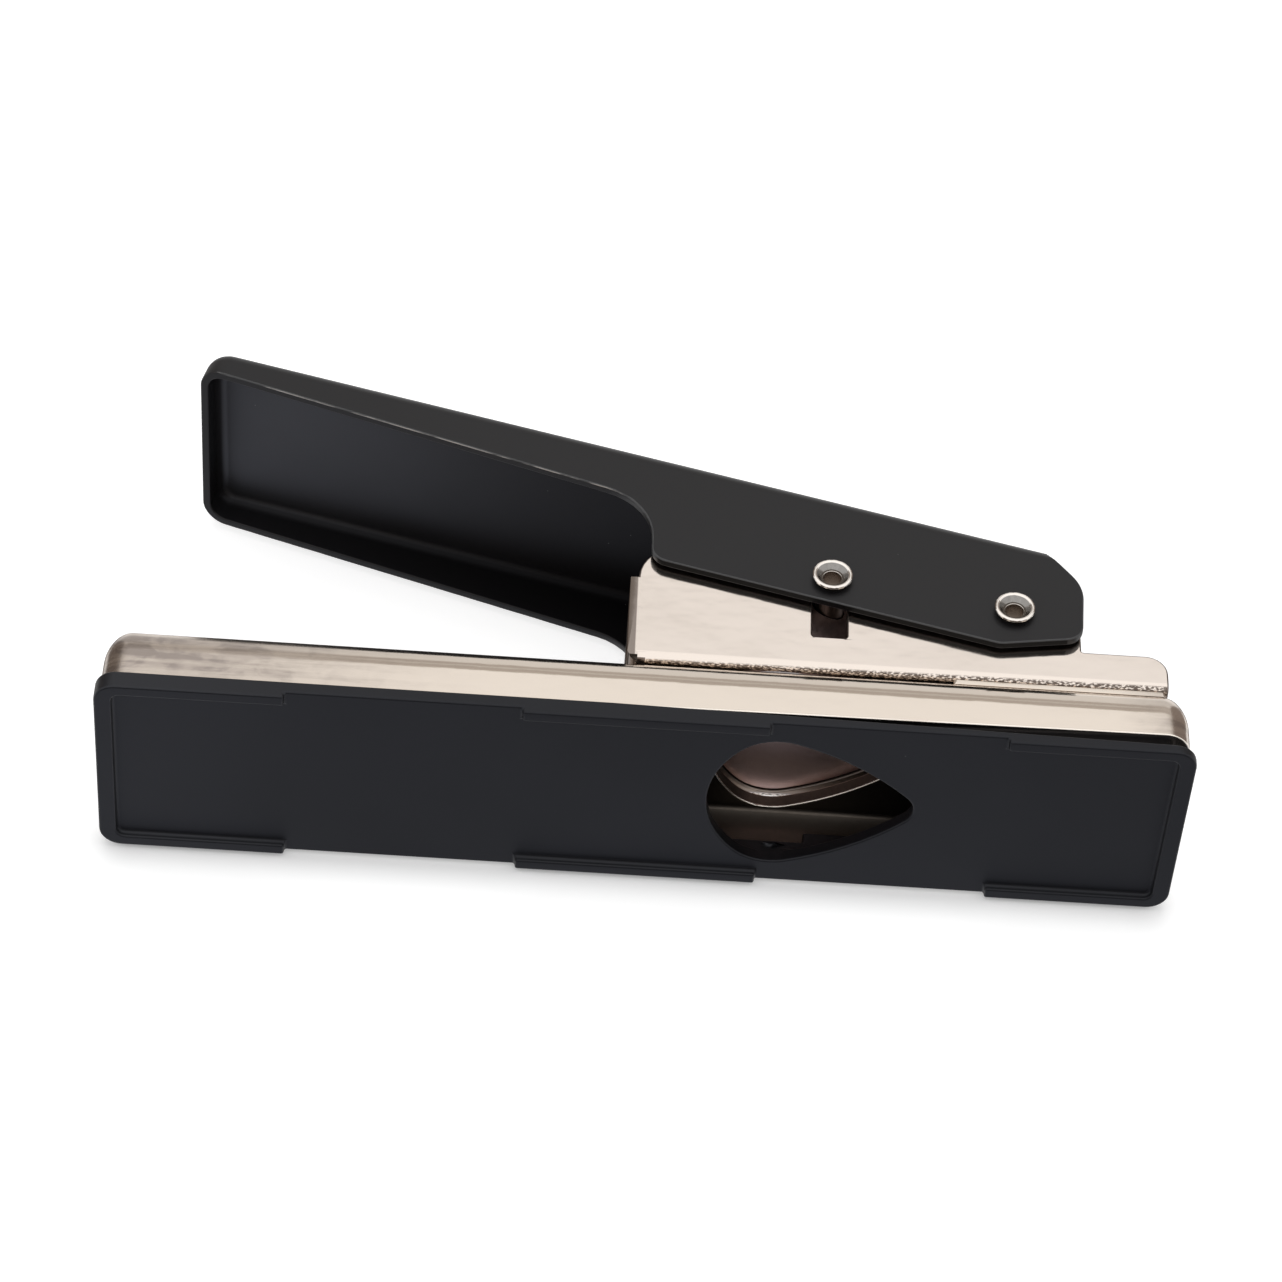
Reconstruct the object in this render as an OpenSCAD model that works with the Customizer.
// Guitar pick punch: a pressed lever drives a pick-shaped punch through the top of a steel base.
// X runs along the base with the hinge towards +X, Y runs across it, and Z rises from the table.

/* [Base pad] */
// Length of the moulded pad under the base
pad_l = 160.6; // [156:0.1:200]
// Width of the pad
pad_w = 35; // [34.6:0.1:44]
// Corner radius of the pad, seen from below
pad_corner_r = 3.3; // [2.4:0.1:8]
// Height of the ledge that the steel tray stands on
pad_h = 3.2; // [2.6:0.1:6]
// Height of the raised feet along the rim
foot_h = 1; // [0.4:0.05:1.4]
// Width of the raised feet along the sides
foot_w = 2; // [1.5:0.1:4]
// Width of the raised feet across the ends
end_foot_w = 2.6; // [1.5:0.1:4]
// Reach of the U-shaped foot round each end
end_foot_l = 27.6; // [15:0.1:40]
// Length of the middle foot on each long side
mid_foot_l = 36; // [10:0.5:60]
// How far the ledge falls away from the tray at the hinge end
ledge_dip = 1.5; // [0.1:0.1:1.6]
// Where along the pad the gap between ledge and tray begins
ledge_dip_x = -5; // [-20:1:40]
// Height of the upright lip that snaps inside the tray
lip_h = 3.8; // [2:0.1:4]
// Thickness of the lip
lip_t = 1.4; // [0.8:0.1:1.8]
// Length of the notch moulded in the lip beside the pick hole
lip_notch_l = 12; // [6:0.5:20]
// Depth of that notch
lip_notch_h = 1.9; // [1:0.1:2]
// Gap between the lip and the tray wall
snap_play = 0.1; // [0.05:0.05:0.4]

/* [Steel tray] */
// How far the tray stands in from the edge of the pad
tray_inset = 0.6; // [0.2:0.05:1]
// Height of the tray above the ledge
tray_h = 10.7; // [9:0.1:16]
// How far the lower edge of the tray rises clear of the ledge at the hinge end
tray_lift = 0.9; // [0.1:0.1:1.2]
// Sheet thickness of the tray, which is also the depth of the die
tray_t = 2.3; // [1.2:0.1:2.8]
// Radius of the lower part of the drawn top edge
edge_low_r = 8.3; // [6:0.1:9]
// Radius of the upper part of the drawn top edge
edge_top_r = 3.3; // [3:0.1:5]
// Angle of the drawn edge that the lower radius takes up
edge_turn = 30; // [20:1:40]

/* [Pick] */
// Length of the pick that is cut
pick_l = 30; // [28:0.1:32]
// Width of the pick
pick_w = 26; // [22:0.1:26.4]
// Radius of the tip
pick_tip_r = 3.4; // [2:0.1:5]
// Radius of the two shoulders
pick_shoulder_r = 7.6; // [6:0.1:8.4]
// Distance from the wide end to the widest section
pick_wide_at = 9.8; // [9:0.1:12]
// Radius of the bowed sides
pick_side_r = 42; // [32:0.5:80]
// Distance from the hinge end of the pad to the middle of the pick
pick_x = 55.3; // [54.3:0.1:60]
// Gap all round between the punch and the die
punch_play = 0.08; // [0.03:0.01:0.12]
// How much larger than the pick the opening in the stripper web is
stripper_play = 0.12; // [0.05:0.01:0.3]
// How much larger than the pick the drop-out hole in the pad is
pad_hole_play = 0.25; // [0.1:0.05:1]
// Height of the punch face above the underside of the web when the lever is up
punch_lift = 0.4; // [0.2:0.1:1]
// Metal left above the drive pin in the punch
punch_crown = 1.6; // [1:0.1:3]

/* [Throat and tower] */
// Height of the throat that takes the card
card_gap = 0.9; // [0.6:0.05:2]
// How far behind the tip of the pick the throat is stopped
throat_stop = 5; // [3:0.5:6]
// Gap between the edge of the spacer and the outside of the tower
spacer_inset = 0.5; // [0.1:0.1:2]
// Outside width of the tower
tower_w = 29.8; // [29.6:0.1:30.4]
// Sheet thickness of the tower
tower_t = 1.2; // [0.8:0.1:1.4]
// Outside radius of the bends at the foot of the tower
tower_bend_r = 1.45; // [1.45:0.05:2.4]
// From the wide end of the pick to the front edge of the side walls
tower_lead = 12.1; // [6:0.1:16]
// Height of the side walls above the underside of the web
wall_h = 23.2; // [22:0.1:23.4]
// Radius of the ear at the front of each side wall
ear_r = 6.5; // [3:0.1:8]
// Height of the front wall above the underside of the web
front_wall_h = 16.6; // [8:0.1:20]
// How far the side walls reach behind the hinge pin
post_back = 10.1; // [8:0.1:10.6]
// Radius of the rear top corner of the side walls
post_r = 7; // [3:0.1:8]
// Height of the low tail behind the hinge
tail_h = 6.65; // [4:0.05:8]
// How far the tail reaches behind the hinge pin
tail_reach = 22.9; // [18:0.1:24]
// Corner radius of the tail
tail_r = 3.3; // [1:0.1:3.6]
// Radius of the relief notch at each front corner
relief_r = 0.6; // [0.6:0.1:1.6]
// Width of the slot that the drive pin moves in
slot_w = 5.2; // [4.9:0.1:6]
// Radius of the slot's lower corners
slot_r = 0.6; // [0:0.1:1]
// Height of the slot's floor above the underside of the web
slot_floor = 6.4; // [4:0.1:6.5]
// Gap over the drive pin at the top of its slot
slot_head = 0.4; // [0.2:0.1:1]

/* [Lever] */
// Outside width of the lever
lever_w = 33.4; // [33:0.1:36]
// Sheet thickness of the lever
lever_t = 1.3; // [0.8:0.1:1.3]
// Outside radius of the bend between web and cheeks
lever_bend_r = 3; // [1.5:0.1:3.2]
// Corner radius of the free end, seen from above
lever_corner_r = 4; // [3.5:0.1:8]
// Distance from the middle of the pick to the hinge pin
hinge_back = 29; // [28:0.1:30]
// Height of the hinge pin above the underside of the web
hinge_h = 12.3; // [11.8:0.1:13]
// Height of the lever's outer face over the hinge pin
web_rise = 15.2; // [14.9:0.1:18]
// Distance from the hinge pin to the free end
handle_reach = 132; // [100:0.5:134]
// Slope of the raised lever
rest_tilt = 14.2; // [13:0.1:16]
// How far the lever swings down
press_angle = 16; // [8:0.5:16]
// Depth of the wall at the free end
end_wall_h = 5.6; // [2:0.1:8]
// Depth of the cheeks where the grip meets them
grip_h = 10.6; // [6:0.1:12]
// Radius of the sweep from grip to cheek
sweep_r = 10.4; // [5:0.1:12]
// Radius of the lower corners of the cheeks
cheek_r = 2.9; // [1:0.1:4]
// How far the cheeks hang below the hinge pin
cheek_drop = 6.9; // [5.5:0.1:7.2]
// Distance from the hinge pin to the front of the cheeks
cheek_front = 54.4; // [46:0.1:58]
// How far the cheeks reach behind the hinge pin
cheek_back = 11; // [9.5:0.1:13]
// How far in front of the hinge pin the cheeks' lower edge turns up to the heel
heel_lead = 0.5; // [0:0.1:3]
// Height of the heel's corner above that edge
heel_h = 5; // [4:0.1:6]
// Radius of the heel's corner
heel_r = 2.9; // [1:0.1:3.2]
// Height of the rear shoulder of the cheeks over the hinge pin
shoulder_h = 8.7; // [8:0.1:9.5]
// Radius of the rear shoulder
shoulder_r = 7.2; // [4:0.1:8]
// Distance that the web runs on behind the hinge pin
web_back = 2.1; // [0:0.1:4]

/* [Pins and rivets] */
// Diameter of the hinge pin and the drive pin
pin_d = 4.4; // [3.6:0.1:4.5]
// Diameter of the heads of both pins
head_d = 6.6; // [5.6:0.1:8]
// How far the heads and the flared ends stand out
head_h = 1.3; // [0.9:0.1:1.5]
// Diameter of the flared end of both pins
flare_d = 6.1; // [5.5:0.1:7]
// Radius of the rounded edge of the heads
head_round_r = 0.5; // [0.2:0.1:0.6]
// Radius of the rolled lip of the flared ends
lip_roll_r = 0.35; // [0.2:0.05:0.35]
// Diameter of the neck below the rolled lip
neck_d = 5; // [4.6:0.1:5.4]
// Depth of the bowl that opens the flared ends
bowl_h = 1; // [0.5:0.1:1.2]
// Diameter of the flat ring at the bottom of the bowl
bowl_d = 3.5; // [3.2:0.1:4]
// Diameter of the hollow in the bowl
hollow_d = 2.8; // [1.5:0.1:3]
// Depth of the hollow below the face of the lever
hollow_l = 1.5; // [1:0.5:10]
// Distance along the lever from the hinge pin to the drive pin
drive_reach = 27.5; // [26.8:0.1:28.2]
// How far the drive pin sits below the hinge pin, square to the lever
drive_drop = 2.4; // [2:0.1:2.8]
// Radial gap between a pin and the hole it turns in
pin_play = 0.06; // [0.02:0.01:0.1]
// Gap between the drive pin and its bore in the punch
drive_play = 0.1; // [0.06:0.01:0.2]
// Diameter of the washers between the tower and the lever
washer_d = 9; // [7:0.1:10]
// Running gap beside each washer
washer_play = 0.1; // [0.05:0.01:0.15]
// Outside diameter of the sleeve on the hinge pin
sleeve_d = 6.4; // [5.4:0.1:6.6]
// Gap between each end of the sleeve and the tower
sleeve_play = 0.05; // [0.02:0.01:0.2]
// Shank diameter of the four frame rivets
rivet_d = 4; // [2.5:0.1:4.5]
// Head diameter of the frame rivets
rivet_head_d = 6.8; // [5:0.1:7.4]
// Diameter of the clinched heads below
clinch_d = 6.1; // [4.8:0.1:7]
// Head height of the frame rivets
rivet_head_h = 1.2; // [0.6:0.1:1.6]
// Distance across between the two rows of rivets
rivet_rows = 18.4; // [12:0.1:19]
// From the front of the spacer to the first rivet
rivet_first = 5.4; // [4:0.1:7]
// From the end of the tail to the last rivet
rivet_last = 6; // [5:0.1:8]

/* [Return spring] */
// Wire diameter
wire_d = 1.2; // [0.8:0.1:1.3]
// Radius of the coil at the middle of the wire
coil_r = 4.7; // [4.5:0.1:5.4]
// Whole turns in the coil
coil_turns = 4; // [2:1:6]
// Gap between neighbouring turns
coil_gap = 0.6; // [0.5:0.05:1]
// Forward reach of the lower leg
low_leg = 10; // [7:0.5:11]
// Forward reach of the upper leg, along the lever
top_leg = 12; // [8:0.5:14]
// Gap between each leg's end and the sheet that it bears on
leg_play = 0.1; // [0.05:0.01:0.2]

/* [Hidden] */
// Segments in a drawn arc
arc_n = 8;
// Overshoot of a cutting shape
cut = 1;
// Segments of true round parts
$fn = 64;

// Base
tray_l = pad_l - 2 * tray_inset;
tray_w = pad_w - 2 * tray_inset;
tray_top = pad_h + tray_h;
edge_in = edge_low_r - (edge_low_r - edge_top_r) * cos(edge_turn);
// Flat left between the drawn edge and the middle of a corner
corner_core = 0.1;
tray_corner_r = edge_in + corner_core;
lip_out_l = tray_l - 2 * (tray_t + snap_play);
lip_out_w = tray_w - 2 * (tray_t + snap_play);
lip_corner_r = max(tray_corner_r - tray_t, lip_t + corner_core);

// Tower
pick_mid = pad_l / 2 - pick_x;
web_z = tray_top + card_gap;
tower_in = tower_w / 2 - tower_t;
tower_front = pick_mid - pick_l / 2 - tower_lead;
hinge_x = pick_mid + hinge_back;
hinge_z = web_z + hinge_h;
post_x = hinge_x + post_back;
tail_x = hinge_x + tail_reach;
throat_x = pick_mid + pick_l / 2 + throat_stop;
bend_in_r = tower_bend_r - tower_t;

// Drive pin, at rest and over its swing
drive_r = norm([drive_reach, drive_drop]);
drive_a = rest_tilt - atan(drive_drop / drive_reach);
drive_x = hinge_x - drive_r * cos(drive_a);
drive_z = hinge_z + drive_r * sin(drive_a);
drive_x_fore = hinge_x - drive_r;
drive_mid_x = (drive_x + drive_x_fore) / 2;
drive_half = (drive_x - drive_x_fore) / 2;

// Punch
punch_z = web_z + punch_lift;
punch_top = drive_z + pin_d / 2 + drive_play + punch_crown;

// Lever
lever_in = lever_w / 2 - lever_t;
web_in = web_rise - lever_t;
// The sweep and the rear end of the cheeks stand upright when the lever is raised
upright = tan(rest_tilt);

// Rivets
rivet_xs = [throat_x + rivet_first, tail_x - rivet_last];
rivet_ys = [-rivet_rows / 2, rivet_rows / 2];

function unit(v) = v / norm(v);
function reversed(list) = [for (i = [len(list) - 1 : -1 : 0]) list[i]];
function arc(c, r, a0, a1, n = arc_n) =
    [for (i = [0 : n]) c + r * [cos(a0 + (a1 - a0) * i / n), sin(a0 + (a1 - a0) * i / n)]];
function after_first(list) = [for (i = [1 : len(list) - 1]) list[i]];
function turn_between(a0, a1) = (a1 - a0 + 540) % 360 - 180;

// One corner of an outline, rounded by an arc that touches both of its sides
function corner(before, at, after, r) =
    r <= 0 ? [at] :
    let (back = unit(before - at),
         on = unit(after - at),
         half = acos(back * on) / 2,
         centre = at + unit(back + on) * r / sin(half),
         first = at + back * r / tan(half) - centre,
         last = at + on * r / tan(half) - centre,
         a0 = atan2(first.y, first.x),
         a1 = atan2(last.y, last.x))
    arc(centre, r, a0, a0 + turn_between(a0, a1));

// Closed outline from points [x, y, corner radius]
function rounded(points) =
    let (n = len(points), flat = [for (p = points) [p.x, p.y]])
    [for (i = [0 : n - 1])
        for (q = corner(flat[(i + n - 1) % n], flat[i], flat[(i + 1) % n], points[i][2])) q];

function box_outline(l, w, r) =
    rounded([[-l / 2, -w / 2, r], [l / 2, -w / 2, r], [l / 2, w / 2, r], [-l / 2, w / 2, r]]);

// Outline of the pick, grown by d: tip, bowed side, shoulder and wide end, each an arc that
// runs into the next
function pick_outline(d) =
    let (tip = [pick_l / 2 - pick_tip_r, 0],
         shoulder = [pick_wide_at - pick_l / 2, pick_w / 2 - pick_shoulder_r],
         end_r = (pick_wide_at ^ 2 + shoulder.y ^ 2 - pick_shoulder_r ^ 2)
                 / (2 * (pick_wide_at - pick_shoulder_r)),
         end_c = [end_r - pick_l / 2, 0],
         span = norm(tip - shoulder),
         far = pick_side_r - pick_shoulder_r,
         near = pick_side_r - pick_tip_r,
         along = (far ^ 2 - near ^ 2 + span ^ 2) / (2 * span),
         way = (tip - shoulder) / span,
         side_c = shoulder + way * along + [way.y, -way.x] * sqrt(far ^ 2 - along ^ 2),
         to_tip = tip - side_c,
         to_shoulder = shoulder - side_c,
         to_end = shoulder - end_c,
         a_tip = atan2(to_tip.y, to_tip.x),
         a_side = atan2(to_shoulder.y, to_shoulder.x),
         a_end = atan2(to_end.y, to_end.x),
         half = concat(
             arc(tip, pick_tip_r + d, 0, a_tip),
             after_first(arc(side_c, pick_side_r + d, a_tip, a_side)),
             after_first(arc(shoulder, pick_shoulder_r + d, a_side, a_end)),
             after_first(arc(end_c, end_r + d, a_end, 180))))
    concat(half, [for (i = [len(half) - 2 : -1 : 1]) [half[i].x, -half[i].y]]);

// Drawn edge of a tray: from the side wall at x = 0 up and inwards over two arcs that share a tangent
function drawn_edge(low_r, top_r, turn) =
    let (low_c = [-low_r, 0],
         top_c = low_c + (low_r - top_r) * [cos(turn), sin(turn)])
    turn == 0 ? arc(top_c, top_r, 0, 90)
              : concat(arc(low_c, low_r, 0, turn), after_first(arc(top_c, top_r, turn, 90)));

// Solid of a drawn tray: rounded corners in plan and the drawn edge all round its top
module drawn_solid(l, w, h, low_r, top_r, turn, core) {
    rise = (low_r - top_r) * sin(turn) + top_r;
    // To the micrometre, so that the straight walls end exactly where the corners start
    r = round(1000 * (low_r - (low_r - top_r) * cos(turn) + core)) / 1000;
    edge = [for (p = drawn_edge(low_r, top_r, turn)) [p.x + r, p.y + h - rise]];
    half = concat([[0, 0], [r, 0]], edge, [[0, h]]);
    right = [for (p = concat([[r, 0]], edge)) [p.x + w / 2 - r, p.y]];
    section = concat(right, [for (p = reversed(right)) [-p.x, p.y]]);
    translate([-(l / 2 - r), 0, 0])
        rotate([90, 0, 90])
            linear_extrude(l - 2 * r) polygon(section);
    strip = concat([[-r, 0], [r, 0]], edge, [[-r, h]]);
    for (side = [0, 1]) mirror([side, 0, 0]) translate([l / 2 - r, 0, 0]) {
        translate([0, w / 2 - r, 0])
            rotate([90, 0, 0])
                linear_extrude(w - 2 * r) polygon(strip);
        for (flip = [0, 1]) mirror([0, flip, 0])
            translate([0, w / 2 - r, 0])
                rotate_extrude(angle = 90) polygon(half);
    }
}

module pick_prism(d, z0, z1) {
    translate([pick_mid, 0, z0]) linear_extrude(z1 - z0) polygon(pick_outline(d));
}

module across(x, z, d, l) {
    translate([x, 0, z]) rotate([90, 0, 0]) cylinder(d = d, h = l, center = true);
}

// Side outline [x, z], extruded across the part
module side_plate(points, w) {
    translate([0, w / 2, 0]) rotate([90, 0, 0]) linear_extrude(w) polygon(points);
}

module on_lever() {
    translate([hinge_x, 0, hinge_z]) rotate([0, rest_tilt, 0]) children();
}

// Pad
module foot_ring() {
    difference() {
        linear_extrude(foot_h + cut) polygon(box_outline(pad_l, pad_w, pad_corner_r));
        translate([0, 0, -cut])
            linear_extrude(foot_h + 3 * cut)
                polygon(box_outline(pad_l - 2 * end_foot_w, pad_w - 2 * foot_w, pad_corner_r - foot_w));
    }
}

module feet() {
    gap = pad_l / 2 - end_foot_l - mid_foot_l / 2;
    difference() {
        foot_ring();
        for (side = [-1, 1])
            translate([side * (mid_foot_l + gap) / 2, 0, 0])
                cube([gap, pad_w + cut, 2 * (foot_h + 2 * cut)], center = true);
    }
}

module dipped_ledge() {
    difference() {
        side_plate([[ledge_dip_x, pad_h], [pad_l / 2 + cut, pad_h - ledge_dip],
                    [pad_l / 2 + cut, pad_h + cut], [ledge_dip_x, pad_h + cut]], pad_w + cut);
        linear_extrude(pad_h + 2 * cut) polygon(box_outline(lip_out_l, lip_out_w, lip_corner_r));
    }
}

module lip() {
    notch_z = pad_h + lip_h - lip_notch_h;
    difference() {
        linear_extrude(pad_h + lip_h) polygon(box_outline(lip_out_l, lip_out_w, lip_corner_r));
        translate([0, 0, -cut])
            linear_extrude(pad_h + lip_h + 2 * cut)
                polygon(box_outline(lip_out_l - 2 * lip_t, lip_out_w - 2 * lip_t, lip_corner_r - lip_t));
        translate([-pad_l, -pad_w, -cut]) cube([2 * pad_l, 2 * pad_w, pad_h]);
        translate([pick_mid - lip_notch_l, -pad_w, notch_z]) cube([lip_notch_l, 2 * pad_w, lip_h]);
    }
}

module base_pad() {
    color([0.11, 0.11, 0.13]) difference() {
        union() {
            translate([0, 0, foot_h])
                linear_extrude(pad_h - foot_h) polygon(box_outline(pad_l, pad_w, pad_corner_r));
            feet();
            lip();
        }
        dipped_ledge();
        pick_prism(pad_hole_play, -cut, pad_h + cut);
    }
}

// Wedge that lifts the lower edge of the tray clear of the ledge
module lifted_edge() {
    side_plate([[ledge_dip_x, pad_h], [pad_l / 2 + cut, pad_h + tray_lift],
                [pad_l / 2 + cut, pad_h - cut], [ledge_dip_x, pad_h - cut]], pad_w + cut);
}

// Tray, whose top is the die
module base_tray() {
    color([0.86, 0.82, 0.77]) difference() {
        translate([0, 0, pad_h])
            drawn_solid(tray_l, tray_w, tray_h, edge_low_r, edge_top_r, edge_turn, corner_core);
        translate([0, 0, pad_h - cut])
            drawn_solid(tray_l - 2 * tray_t, tray_w - 2 * tray_t, tray_h - tray_t + cut,
                        edge_low_r - tray_t, edge_top_r - tray_t, edge_turn, corner_core);
        lifted_edge();
        pick_prism(0, tray_top - tray_t - cut, tray_top + cut);
        rivet_holes(tray_top - tray_t - cut, tray_top + cut);
    }
}

module rivet_holes(z0, z1) {
    for (x = rivet_xs, y = rivet_ys) translate([x, y, z0]) cylinder(d = rivet_d, h = z1 - z0);
}

module throat_spacer() {
    spacer_l = tail_x - spacer_inset - throat_x;
    color([0.86, 0.82, 0.77]) difference() {
        translate([throat_x + spacer_l / 2, 0, tray_top])
            linear_extrude(card_gap) polygon(box_outline(spacer_l, tower_w - 2 * spacer_inset, spacer_inset));
        rivet_holes(tray_top - cut, web_z + cut);
    }
}

// Tower
module tower_channel() {
    half = tower_w / 2;
    top = wall_h + cut;
    section = rounded([[-half, top, 0], [-half, 0, tower_bend_r], [half, 0, tower_bend_r], [half, top, 0],
                       [tower_in, top, 0], [tower_in, tower_t, bend_in_r],
                       [-tower_in, tower_t, bend_in_r], [-tower_in, top, 0]]);
    wall = rounded([[tower_front, -cut, 0], [tail_x, -cut, 0], [tail_x, tail_h, tail_r],
                    [post_x, tail_h, tower_t / 3], [post_x, wall_h, post_r],
                    [tower_front, wall_h, ear_r]]);
    translate([0, 0, web_z]) intersection() {
        translate([tower_front - cut, 0, 0])
            rotate([90, 0, 90]) linear_extrude(tail_x - tower_front + 2 * cut) polygon(section);
        side_plate(wall, tower_w + cut);
    }
}

module front_wall() {
    join = tower_front + tower_bend_r;
    section = rounded([[tower_front - tower_t, front_wall_h, 0], [tower_front - tower_t, 0, tower_bend_r],
                       [join, 0, 0], [join, tower_t, 0],
                       [tower_front, tower_t, bend_in_r], [tower_front, front_wall_h, 0]]);
    translate([0, 0, web_z]) side_plate(section, tower_w);
}

module corner_reliefs() {
    for (side = [-1, 1])
        translate([tower_front - tower_t - cut, side * tower_w / 2, web_z])
            rotate([0, 90, 0]) cylinder(r = relief_r, h = tower_t + cut + relief_r / 2);
}

module tower_frame() {
    slot_top = drive_z + pin_d / 2 + slot_head;
    slot_low = web_z + slot_floor;
    slot = rounded([[drive_mid_x - slot_w / 2, slot_top, 0], [drive_mid_x - slot_w / 2, slot_low, slot_r],
                    [drive_mid_x + slot_w / 2, slot_low, slot_r], [drive_mid_x + slot_w / 2, slot_top, 0]]);
    color([0.9, 0.86, 0.8]) difference() {
        union() {
            tower_channel();
            front_wall();
        }
        corner_reliefs();
        pick_prism(stripper_play, web_z - cut, web_z + tower_t + cut);
        rivet_holes(web_z - cut, web_z + tower_t + cut);
        across(hinge_x, hinge_z, pin_d + 2 * pin_play, tower_w + cut);
        side_plate(slot, tower_w + cut);
    }
}

// Rivet through web, spacer and tray, with a domed head above and a clinched head below
module frame_rivet(x, y) {
    grip = tower_t + card_gap + tray_t;
    head_r = rivet_head_d / 2;
    dome_r = (head_r ^ 2 + rivet_head_h ^ 2) / (2 * rivet_head_h);
    dome_a = asin(head_r / dome_r);
    dome = arc([0, grip + rivet_head_h - dome_r], dome_r, 90 - dome_a, 90);
    profile = concat([[0, -rivet_head_h], [rivet_d / 2, -rivet_head_h], [clinch_d / 2, -rivet_head_h / 2],
                      [clinch_d / 2, 0], [rivet_d / 2, 0], [rivet_d / 2, grip]], dome);
    color([0.88, 0.85, 0.8])
        translate([x, y, tray_top - tray_t]) rotate_extrude() polygon(profile);
}

// Punch with a cross bore that lets the drive pin shift a little along it
module punch() {
    bore_d = pin_d + 2 * drive_play;
    color([0.55, 0.5, 0.48]) difference() {
        pick_prism(-punch_play, punch_z, punch_top);
        for (side = [-1, 1])
            across(drive_mid_x + side * (drive_half + drive_play), drive_z, bore_d, pick_w + cut);
        translate([drive_mid_x, 0, drive_z])
            cube([2 * (drive_half + drive_play), pick_w + cut, bore_d], center = true);
    }
}

// Lever
function lever_outline() =
    let (floor_z = -cheek_drop,
         rim = web_rise - grip_h,
         over = web_rise + cut,
         sweep_x = -(cheek_front + (rim + cheek_drop) * upright),
         shoulder_x = cheek_back - shoulder_h * upright)
    rounded([[web_back, over, 0], [-handle_reach - cut, over, 0],
             [-handle_reach - cut, web_rise - end_wall_h, 0],
             [sweep_x, rim, sweep_r], [-cheek_front, floor_z, cheek_r],
             [-heel_lead, floor_z, cheek_r], [cheek_back, floor_z + heel_h, heel_r],
             [shoulder_x, shoulder_h, shoulder_r], [web_back, web_in, 0]]);

// The drawn blank runs on behind the cheeks, so that its rear wall is cut off
module lever() {
    rear = 2 * (cheek_back + lever_corner_r);
    l = handle_reach + rear;
    deep = cheek_drop + 2 * cut;
    core = lever_corner_r - lever_bend_r;
    color([0.13, 0.13, 0.14]) difference() {
        on_lever() intersection() {
            difference() {
                translate([rear - l / 2, 0, -deep])
                    drawn_solid(l, lever_w, web_rise + deep, lever_bend_r, lever_bend_r, 0, core);
                translate([rear - l / 2, 0, -deep - cut])
                    drawn_solid(l - 2 * lever_t, lever_w - 2 * lever_t, web_in + deep + cut,
                                lever_bend_r - lever_t, lever_bend_r - lever_t, 0, core);
            }
            side_plate(lever_outline(), lever_w + cut);
        }
        across(hinge_x, hinge_z, pin_d, lever_w + cut);
        across(drive_x, drive_z, pin_d, lever_w + cut);
    }
}

// Pin set across the lever: a low head on one side, a flared and hollow end on the other
module cheek_pin(x, z) {
    roll_c = [flare_d / 2 - lip_roll_r, lip_roll_r - head_h];
    bowl_y = bowl_h - head_h;
    edge_c = [head_d / 2 - head_round_r, lever_w + head_h - head_round_r];
    profile = concat(
        [[0, hollow_l], [hollow_d / 2, hollow_l], [hollow_d / 2, bowl_y], [bowl_d / 2, bowl_y]],
        arc(roll_c, lip_roll_r, -150, 0),
        [[neck_d / 2, 0], [pin_d / 2, 0], [pin_d / 2, lever_w], [head_d / 2, lever_w]],
        arc(edge_c, head_round_r, 0, 90),
        [[0, lever_w + head_h]]);
    color([0.88, 0.85, 0.8])
        translate([x, -lever_w / 2, z]) rotate([-90, 0, 0]) rotate_extrude() polygon(profile);
}

module pivot_washer(side) {
    gap = lever_in - tower_w / 2;
    t = gap - washer_play;
    color([0.8, 0.78, 0.74])
        translate([hinge_x, side * (lever_in - t / 2), hinge_z]) rotate([90, 0, 0])
            difference() {
                cylinder(d = washer_d, h = t, center = true);
                cylinder(d = pin_d + 2 * pin_play, h = t + cut, center = true);
            }
}

module pivot_sleeve() {
    l = 2 * (tower_in - sleeve_play);
    color([0.75, 0.73, 0.7])
        difference() {
            across(hinge_x, hinge_z, sleeve_d, l);
            across(hinge_x, hinge_z, pin_d + 2 * pin_play, l + cut);
        }
}

// Return spring: a torsion coil round the sleeve, its legs bearing on the web and on the lever
coil_pitch = wire_d + coil_gap;
low_end = [-low_leg, -(hinge_h - tower_t - wire_d / 2 - leg_play)];
top_end = let (v = web_in - wire_d / 2 - leg_play)
    [v * sin(rest_tilt) - top_leg * cos(rest_tilt), v * cos(rest_tilt) + top_leg * sin(rest_tilt)];
low_a = atan2(low_end.y, low_end.x) + acos(coil_r / norm(low_end));
top_a = atan2(top_end.y, top_end.x) - acos(coil_r / norm(top_end)) + 360 * coil_turns;
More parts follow.
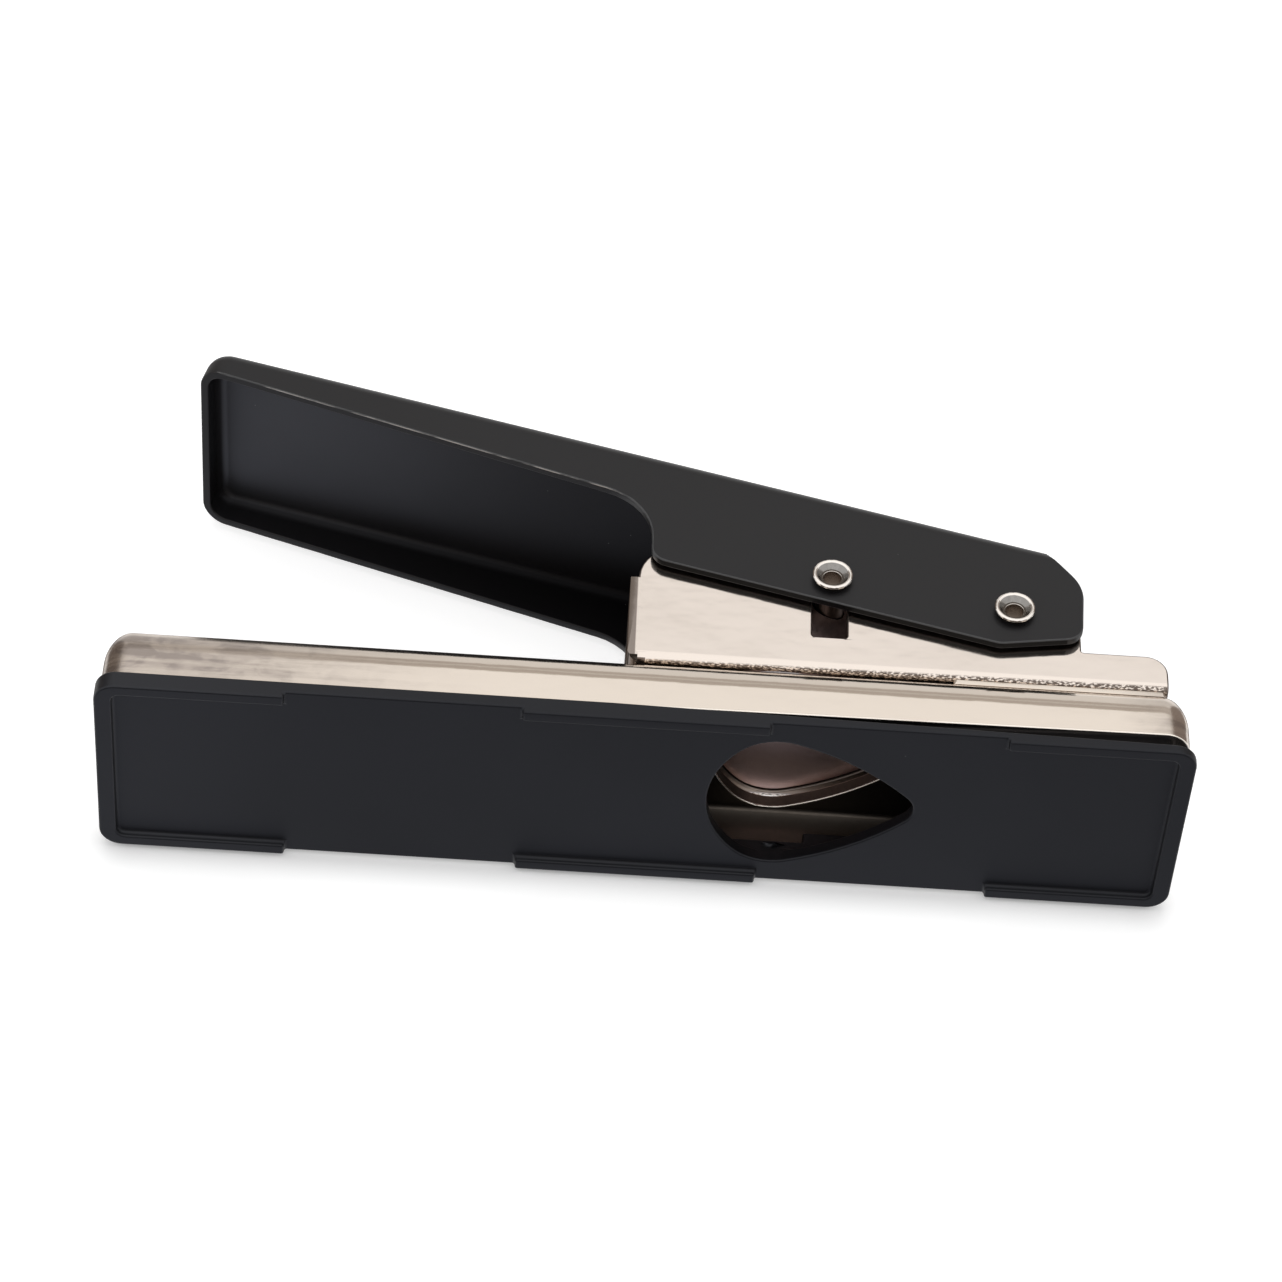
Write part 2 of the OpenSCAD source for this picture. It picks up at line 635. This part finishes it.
// Rings in one turn of the coil and sides of the wire
turn_rings = 8;
wire_sides = 6;
coil_rings = ceil((top_a - low_a) / 360 * turn_rings);
coil_w = (top_a - low_a) / 360 * coil_pitch;
function coil_point(i) =
    let (a = low_a + (top_a - low_a) * i / coil_rings)
    [coil_r * cos(a), coil_w * (i / coil_rings - 0.5), coil_r * sin(a)];
spring_path = concat(
    [[low_end.x, -coil_w / 2, low_end.y]],
    [for (i = [0 : coil_rings]) coil_point(i)],
    [[top_end.x, coil_w / 2, top_end.y]]);

// Least distance between stretches of the wire that are at least half a turn apart
function spring_gap() =
    let (steps = 4,
         fine = [for (i = [0 : len(spring_path) - 2], k = [0 : steps - 1])
             spring_path[i] + (spring_path[i + 1] - spring_path[i]) * k / steps],
         last = len(fine) - 1,
         half_turn = steps * turn_rings / 2)
    min([for (i = [0 : last], j = [i + half_turn : 1 : last]) norm(fine[i] - fine[j])]) - wire_d;

module swept_wire(path, d, sides) {
    n = len(path);
    function way(i) = unit(path[min(i + 1, n - 1)] - path[max(i - 1, 0)]);
    function ring(i) =
        let (t = way(i), u = unit(cross(t, [0, 1, 0])), v = cross(u, t))
        [for (k = [0 : sides - 1])
            path[i] + d / 2 * (u * cos(360 * k / sides) + v * sin(360 * k / sides))];
    points = [for (i = [0 : n - 1]) each ring(i)];
    walls = [for (i = [0 : n - 2], k = [0 : sides - 1])
        let (a = i * sides + k, b = i * sides + (k + 1) % sides)
        each [[a, b, b + sides], [a, b + sides, a + sides]]];
    caps = [for (k = [1 : sides - 2])
        each [[0, k + 1, k], [(n - 1) * sides, (n - 1) * sides + k, (n - 1) * sides + k + 1]]];
    polyhedron(points, concat(walls, caps));
}

module return_spring() {
    echo(spring_gap_mm = spring_gap());
    color([0.7, 0.69, 0.67])
        translate([hinge_x, 0, hinge_z]) swept_wire(spring_path, wire_d, wire_sides);
}

base_pad();
base_tray();
throat_spacer();
tower_frame();
frame_rivet(rivet_xs[0], rivet_ys[0]);  // frame_rivet_front_right
frame_rivet(rivet_xs[0], rivet_ys[1]);  // frame_rivet_front_left
frame_rivet(rivet_xs[1], rivet_ys[0]);  // frame_rivet_rear_right
frame_rivet(rivet_xs[1], rivet_ys[1]);  // frame_rivet_rear_left
punch();
lever();
cheek_pin(hinge_x, hinge_z);  // pivot_pin
cheek_pin(drive_x, drive_z);  // drive_pin
pivot_washer(-1);  // pivot_washer_right
pivot_washer(1);  // pivot_washer_left
pivot_sleeve();
return_spring();
